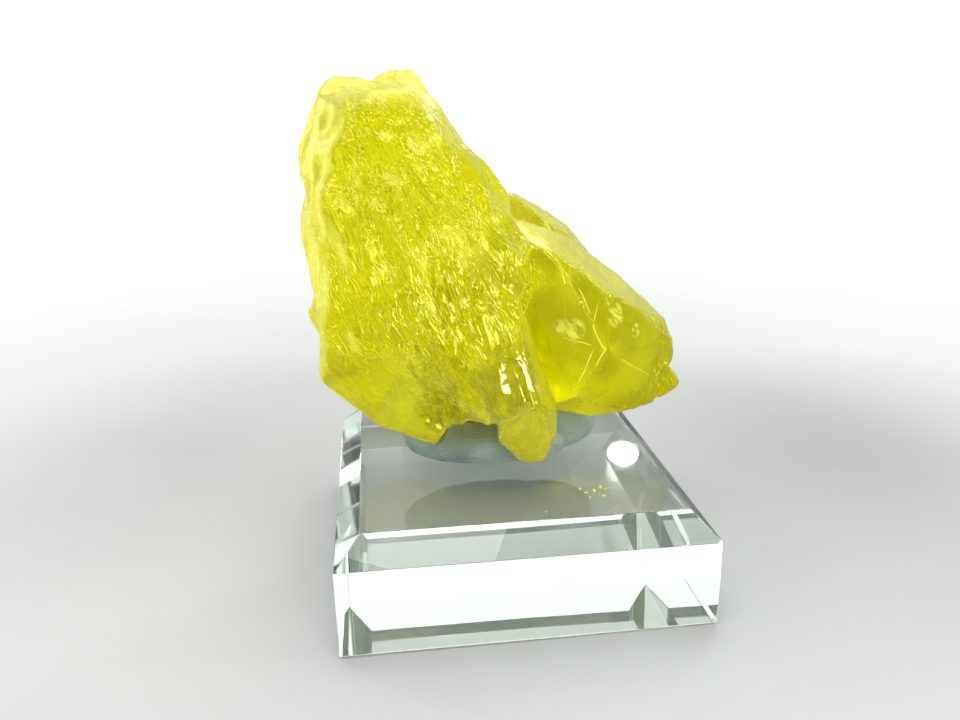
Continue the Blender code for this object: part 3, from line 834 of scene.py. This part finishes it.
class SPECIMEN_OT_sulfur(bpy.types.Operator):
    """Refine the sulfur crystal group"""

    bl_idname = "specimen.sulfur"
    bl_label = "Sulfur Crystal"

    def execute(self, context):
        settings = context.scene.sulfur_settings
        piece = merged_copy("sulfur_crystal", "sulfur_crystal_group")
        source = piece.data.copy()
        tree = BVHTree.FromPolygons([v.co for v in source.vertices], [p.vertices for p in source.polygons])
        voxel_remesh(piece, 0.22 * MM)
        mesh = piece.data
        first, second = edge_ends(mesh)
        mean = neighbour_mean(mesh)
        co = read_points(mesh)
        face_of, planes = broad_faces(source)
        nearest = [tree.find_nearest(Vector(c)) for c in co]
        face = face_of[[n[2] for n in nearest]]
        mask = (face < 0).astype(float)
        for _ in range(5):
            mask = mean(mask)
        mask *= smoothstep(np.linalg.norm(co - WINDOW, axis=1), 2.0 * MM, 2.8 * MM)
        mask = np.maximum(mask, 0.35 * smoothstep(co[:, 0], 3 * MM, 1 * MM))
        for _ in range(10):
            co += (mean(co) - co) * 0.6 * mask[:, None]
        flatten_faces(co, face, planes, first, second)
        write_points(mesh, co)
        normals = np.array([v.normal for v in mesh.vertices])
        height = np.array([etched_height(Vector(c) / MM) for c in co])
        head = smoothstep(np.linalg.norm((co - PRONG_TOP) / (0.8, 1, 1.5), axis=1), 4.2 * MM, 2.6 * MM)
        waves = np.array([head_waves(Vector(c) / MM) for c in co])
        share = mask * smoothstep(mask, 0.1, 0.9)
        lean = (PRONG_TOP.z - co[:, 2]) / MM * HEAD_LEAN
        height = height * share * (1 - head) + (waves + lean) * head * 1.3
        co += normals * (height * RELIEF * MM)[:, None]
        hollow = smoothstep(np.linalg.norm((co - HOLLOW) / (5.2, 5, 5.2), axis=1), 1.0 * MM, 0.7 * MM)
        druse = np.array([druse_height(Vector(c) / MM) if h else 0.0 for c, h in zip(co, hollow)])
        write_points(mesh, co - normals * (druse * hollow * 1.0 * MM)[:, None])
        # Frost: fine roughness where the surface is frosted, and painted light: faces turned up to the
        # right, the crest and faces turned left are painted pale and made to glow
        up_right = np.clip(normals[:, 2] * 1.6 - 0.5, 0, 1) * (co[:, 0] > 0.001)
        crest = smoothstep(co[:, 2], 0.0655, 0.070)
        left = np.clip(-normals[:, 0] * 2 - 0.8, 0, 1) * (co[:, 0] < -0.02)
        frost_and_painted_light = np.clip(np.maximum(np.maximum(up_right * 0.42, crest * 0.7), left * 0.9), 0, 1)
        for name, values in (("etched", mask), ("frost_and_painted_light", frost_and_painted_light)):
            mesh.attributes.new(name, "FLOAT", "POINT").data.foreach_set("value", values)
        make_active(piece)
        fewer = piece.modifiers.new("fewer_faces", "DECIMATE")
        fewer.ratio = 190000 / (2 * len(mesh.polygons))
        bpy.ops.object.modifier_apply(modifier=fewer.name)
        bpy.data.meshes.remove(source)
        piece.data.materials.append(sulfur_material(settings, shared_group("surface_grain")))
        finish_piece(piece, smooth=30, replaces="sulfur_crystal")
        return {"FINISHED"}


class SPECIMEN_OT_crumbs(bpy.types.Operator):
    """Scatter the grains that the sulfur has shed on the glass"""

    bl_idname = "specimen.crumbs"
    bl_label = "Sulfur Crumbs"

    def execute(self, context):
        grains = []
        for number, (x, y, radius) in enumerate(CRUMBS):
            deselect_all()
            bpy.ops.mesh.primitive_ico_sphere_add(subdivisions=2, radius=radius * MM, location=(0, 0, 0))
            grain = context.object
            co = read_points(grain.data)
            apart = Vector((number, 0, 0))
            rough = np.array([1 + 0.55 * noise.noise(Vector(c) / (radius * MM) * 1.3 + apart) for c in co])
            co *= rough[:, None] * (1.0, 0.8, 0.7)
            turn = number * 2.4
            co = co @ np.array(Matrix.Rotation(turn, 3, "Z"))
            co += (x * MM, y * MM, BLOCK_HIGH.z + 0.02 * MM - co[:, 2].min())
            write_points(grain.data, co)
            grains.append(grain)
        deselect_all()
        for grain in grains:
            grain.select_set(True)
        context.view_layer.objects.active = grains[0]
        bpy.ops.object.join()
        piece = context.object
        piece.name = piece.data.name = "sulfur_crumbs"
        piece.data.materials.append(bpy.data.materials["sulfur"])
        finish_piece(piece)
        return {"FINISHED"}


class SPECIMEN_OT_tack(bpy.types.Operator):
    """Knead the pad of mineral tack"""

    bl_idname = "specimen.tack"
    bl_label = "Mineral Tack"

    def execute(self, context):
        piece = merged_copy("mineral_tack", "mineral_tack_pad")
        voxel_remesh(piece, 0.22 * MM)
        mesh = piece.data
        co = read_points(mesh)
        normals = np.array([v.normal for v in mesh.vertices])
        dents = np.array([0.5 + 0.5 * noise.noise(Vector(c) / MM / 2.6) for c in co]) * 0.16
        dents += np.array([fold_depth(Vector(c) / MM) for c in co]) * 0.5
        for start, end in PUTTY_CRACKS:
            away = segment_distance(co / MM + dents[:, None] * 1.5, start, end)
            dents += 0.45 * (1 - smoothstep(away, 0.05, 0.55))
        side = smoothstep(co[:, 2], TACK_FOOT + 0.1 * MM, TACK_FOOT + 0.8 * MM)
        write_points(mesh, co - normals * (dents * side * MM)[:, None])
        piece.data.materials.append(tack_material(
            context.scene.tack_settings, shared_group("surface_grain"), shared_group("handling")))
        finish_piece(piece, smooth=60, replaces="mineral_tack")
        return {"FINISHED"}


class SPECIMEN_OT_block(bpy.types.Operator):
    """Cut and polish the glass display block"""

    bl_idname = "specimen.block"
    bl_label = "Glass Block"

    def execute(self, context):
        settings = context.scene.block_settings
        deselect_all()
        bpy.ops.mesh.primitive_cube_add(
            size=1, location=(BLOCK_LOW + BLOCK_HIGH) / 2, scale=BLOCK_HIGH - BLOCK_LOW)
        piece = context.object
        piece.name = piece.data.name = "glass_display_block"
        bpy.ops.object.transform_apply(location=True, rotation=True, scale=True)
        for level, width in ((BLOCK_HIGH.z, settings.bevel), (BLOCK_LOW.z, settings.foot)):
            select_edges(piece, lambda corner: abs(corner.z - level) < 1e-6)
            bpy.ops.mesh.bevel(offset=width, segments=1, affect="EDGES")
            bpy.ops.object.mode_set(mode="OBJECT")
        arris = piece.modifiers.new("arrises", "BEVEL")
        arris.width = settings.arris
        arris.segments = 2
        arris.angle_limit = math.radians(20)
        bpy.ops.object.modifier_apply(modifier=arris.name)
        corner = Vector((BLOCK_HIGH.x, BLOCK_LOW.y, BLOCK_HIGH.z - settings.bevel))
        for depth, way in CHIPS:
            bpy.ops.object.mode_set(mode="EDIT")
            bpy.ops.mesh.select_all(action="SELECT")
            way = Vector(way).normalized()
            bpy.ops.mesh.bisect(plane_co=corner - way * depth * MM, plane_no=way, use_fill=True,
                                clear_outer=True)
            bpy.ops.object.mode_set(mode="OBJECT")
        piece.data.materials.append(glass_material(settings, shared_group("handling")))
        finish_piece(piece, replaces="glass_block")
        return {"FINISHED"}


# ------------------------------------------------------------------------------------------------
# Stage
# ------------------------------------------------------------------------------------------------

def camera_matrix(settings):
    turn, dip, roll = settings.camera_turn, settings.camera_dip, settings.camera_roll
    forward = Vector((math.sin(turn) * math.cos(dip), math.cos(turn) * math.cos(dip), -math.sin(dip)))
    level = Vector((math.cos(turn), -math.sin(turn), 0))
    upright = level.cross(forward)
    right = math.cos(roll) * level + math.sin(roll) * upright
    up = -math.sin(roll) * level + math.cos(roll) * upright
    made = Matrix((right, up, -forward)).transposed().to_4x4()
    made.translation = Vector(settings.camera_place)
    return made


def area_light(name, place, target, size, power, shape="RECTANGLE"):
    data = bpy.data.lights.new(name, "AREA")
    data.shape = shape
    data.size, data.size_y = size
    data.energy = power
    lamp = bpy.data.objects.new(name, data)
    lamp.location = place
    lamp.rotation_euler = (Vector(target) - Vector(place)).to_track_quat("-Z", "Y").to_euler()
    bpy.context.scene.collection.objects.link(lamp)
    return lamp


class SPECIMEN_OT_stage(bpy.types.Operator):
    """Set the floor, lights and camera"""

    bl_idname = "specimen.stage"
    bl_label = "Stage"

    def execute(self, context):
        settings = context.scene.stage_settings
        deselect_all()
        bpy.ops.mesh.primitive_plane_add(size=1.2, location=(0, FLOOR_CENTRE, -0.0001))
        floor = context.object
        floor.name = "table_top"
        floor.data.materials.append(table_material(shared_group("surface_grain"), shared_group("handling")))

        world = bpy.data.worlds.new("studio")
        context.scene.world = world
        world.use_nodes = True
        background = world.node_tree.nodes["Background"]
        lay = NodeLayout(world.node_tree)
        direction = lay.add("ShaderNodeTexCoord").outputs["Generated"]
        parts = lay.add("ShaderNodeSeparateXYZ")
        lay.link(direction, parts.inputs[0])
        behind = lay.spread(parts.outputs["Y"], -0.5, 0.5)
        shade = lay.ramp(behind, (0.0, WORLD_FRONT), (0.5, WORLD_SIDE), (1.0, (1.0, 1.0, 1.0)))
        shade = lay.mix_colour(lay.spread(parts.outputs["Z"], 0.25, 0.8), shade, WORLD_UP)
        path = lay.add("ShaderNodeLightPath")
        gloss = lay.math("MULTIPLY", path.outputs["Is Reflection Ray"], path.outputs["Is Glossy Ray"])
        camera_ray = path.outputs["Is Camera Ray"]
        mirrored = lay.ramp(behind, (0.0, QUIET), (0.5, QUIET), (1.0, MIRRORED_BACK))
        quiet = lay.mix_colour(gloss, shade, mirrored)
        lay.link(lay.mix_colour(camera_ray, quiet, (1, 1, 1)), background.inputs["Color"])
        background.inputs["Strength"].default_value = WORLD_POWER

        for name, spot, size, power in SOFTBOXES:
            area_light(name, spot, CRYSTAL_MIDDLE, size, power)
        area_light("back_lamp", (0.134, 0.36, 0.190), (0.008, -0.008, 0.016), (0.020, 0.016), 0.011,
                   shape="ELLIPSE")

        camera = bpy.data.objects.new("camera", bpy.data.cameras.new("camera"))
        camera.data.lens = settings.lens
        camera.data.sensor_width = 36.0
        camera.data.clip_start = 0.001
        camera.matrix_world = camera_matrix(settings)
        context.scene.collection.objects.link(camera)
        context.scene.camera = camera
        context.scene.view_settings.view_transform = "Standard"
        for kind in ("max_bounces", "glossy_bounces", "transmission_bounces"):
            setattr(context.scene.cycles, kind, BOUNCES)
        return {"FINISHED"}


class SPECIMEN_PT_panel(bpy.types.Panel):
    """The specimen's pieces in the sidebar"""

    bl_idname = "SPECIMEN_PT_panel"
    bl_label = "Sulfur Specimen"
    bl_space_type = "VIEW_3D"
    bl_region_type = "UI"
    bl_category = "Specimen"

    def draw(self, context):
        for operator in OPERATORS:
            self.layout.operator(operator.bl_idname)


SETTINGS = {
    "sulfur_settings": SulfurSettings,
    "tack_settings": TackSettings,
    "block_settings": BlockSettings,
    "stage_settings": StageSettings,
}
OPERATORS = (SPECIMEN_OT_sulfur, SPECIMEN_OT_crumbs, SPECIMEN_OT_tack, SPECIMEN_OT_block, SPECIMEN_OT_stage)


def register():
    for name, group in SETTINGS.items():
        bpy.utils.register_class(group)
        setattr(bpy.types.Scene, name, bpy.props.PointerProperty(type=group))
    for kind in (*OPERATORS, SPECIMEN_PT_panel):
        bpy.utils.register_class(kind)


def unregister():
    for kind in reversed((*OPERATORS, SPECIMEN_PT_panel)):
        bpy.utils.unregister_class(kind)
    for name, group in reversed(SETTINGS.items()):
        delattr(bpy.types.Scene, name)
        bpy.utils.unregister_class(group)


def main():
    register()
    bpy.ops.specimen.sulfur()
    bpy.ops.specimen.crumbs()
    bpy.ops.specimen.tack()
    bpy.ops.specimen.block()
    bpy.ops.specimen.stage()


if __name__ == "__main__":
    main()
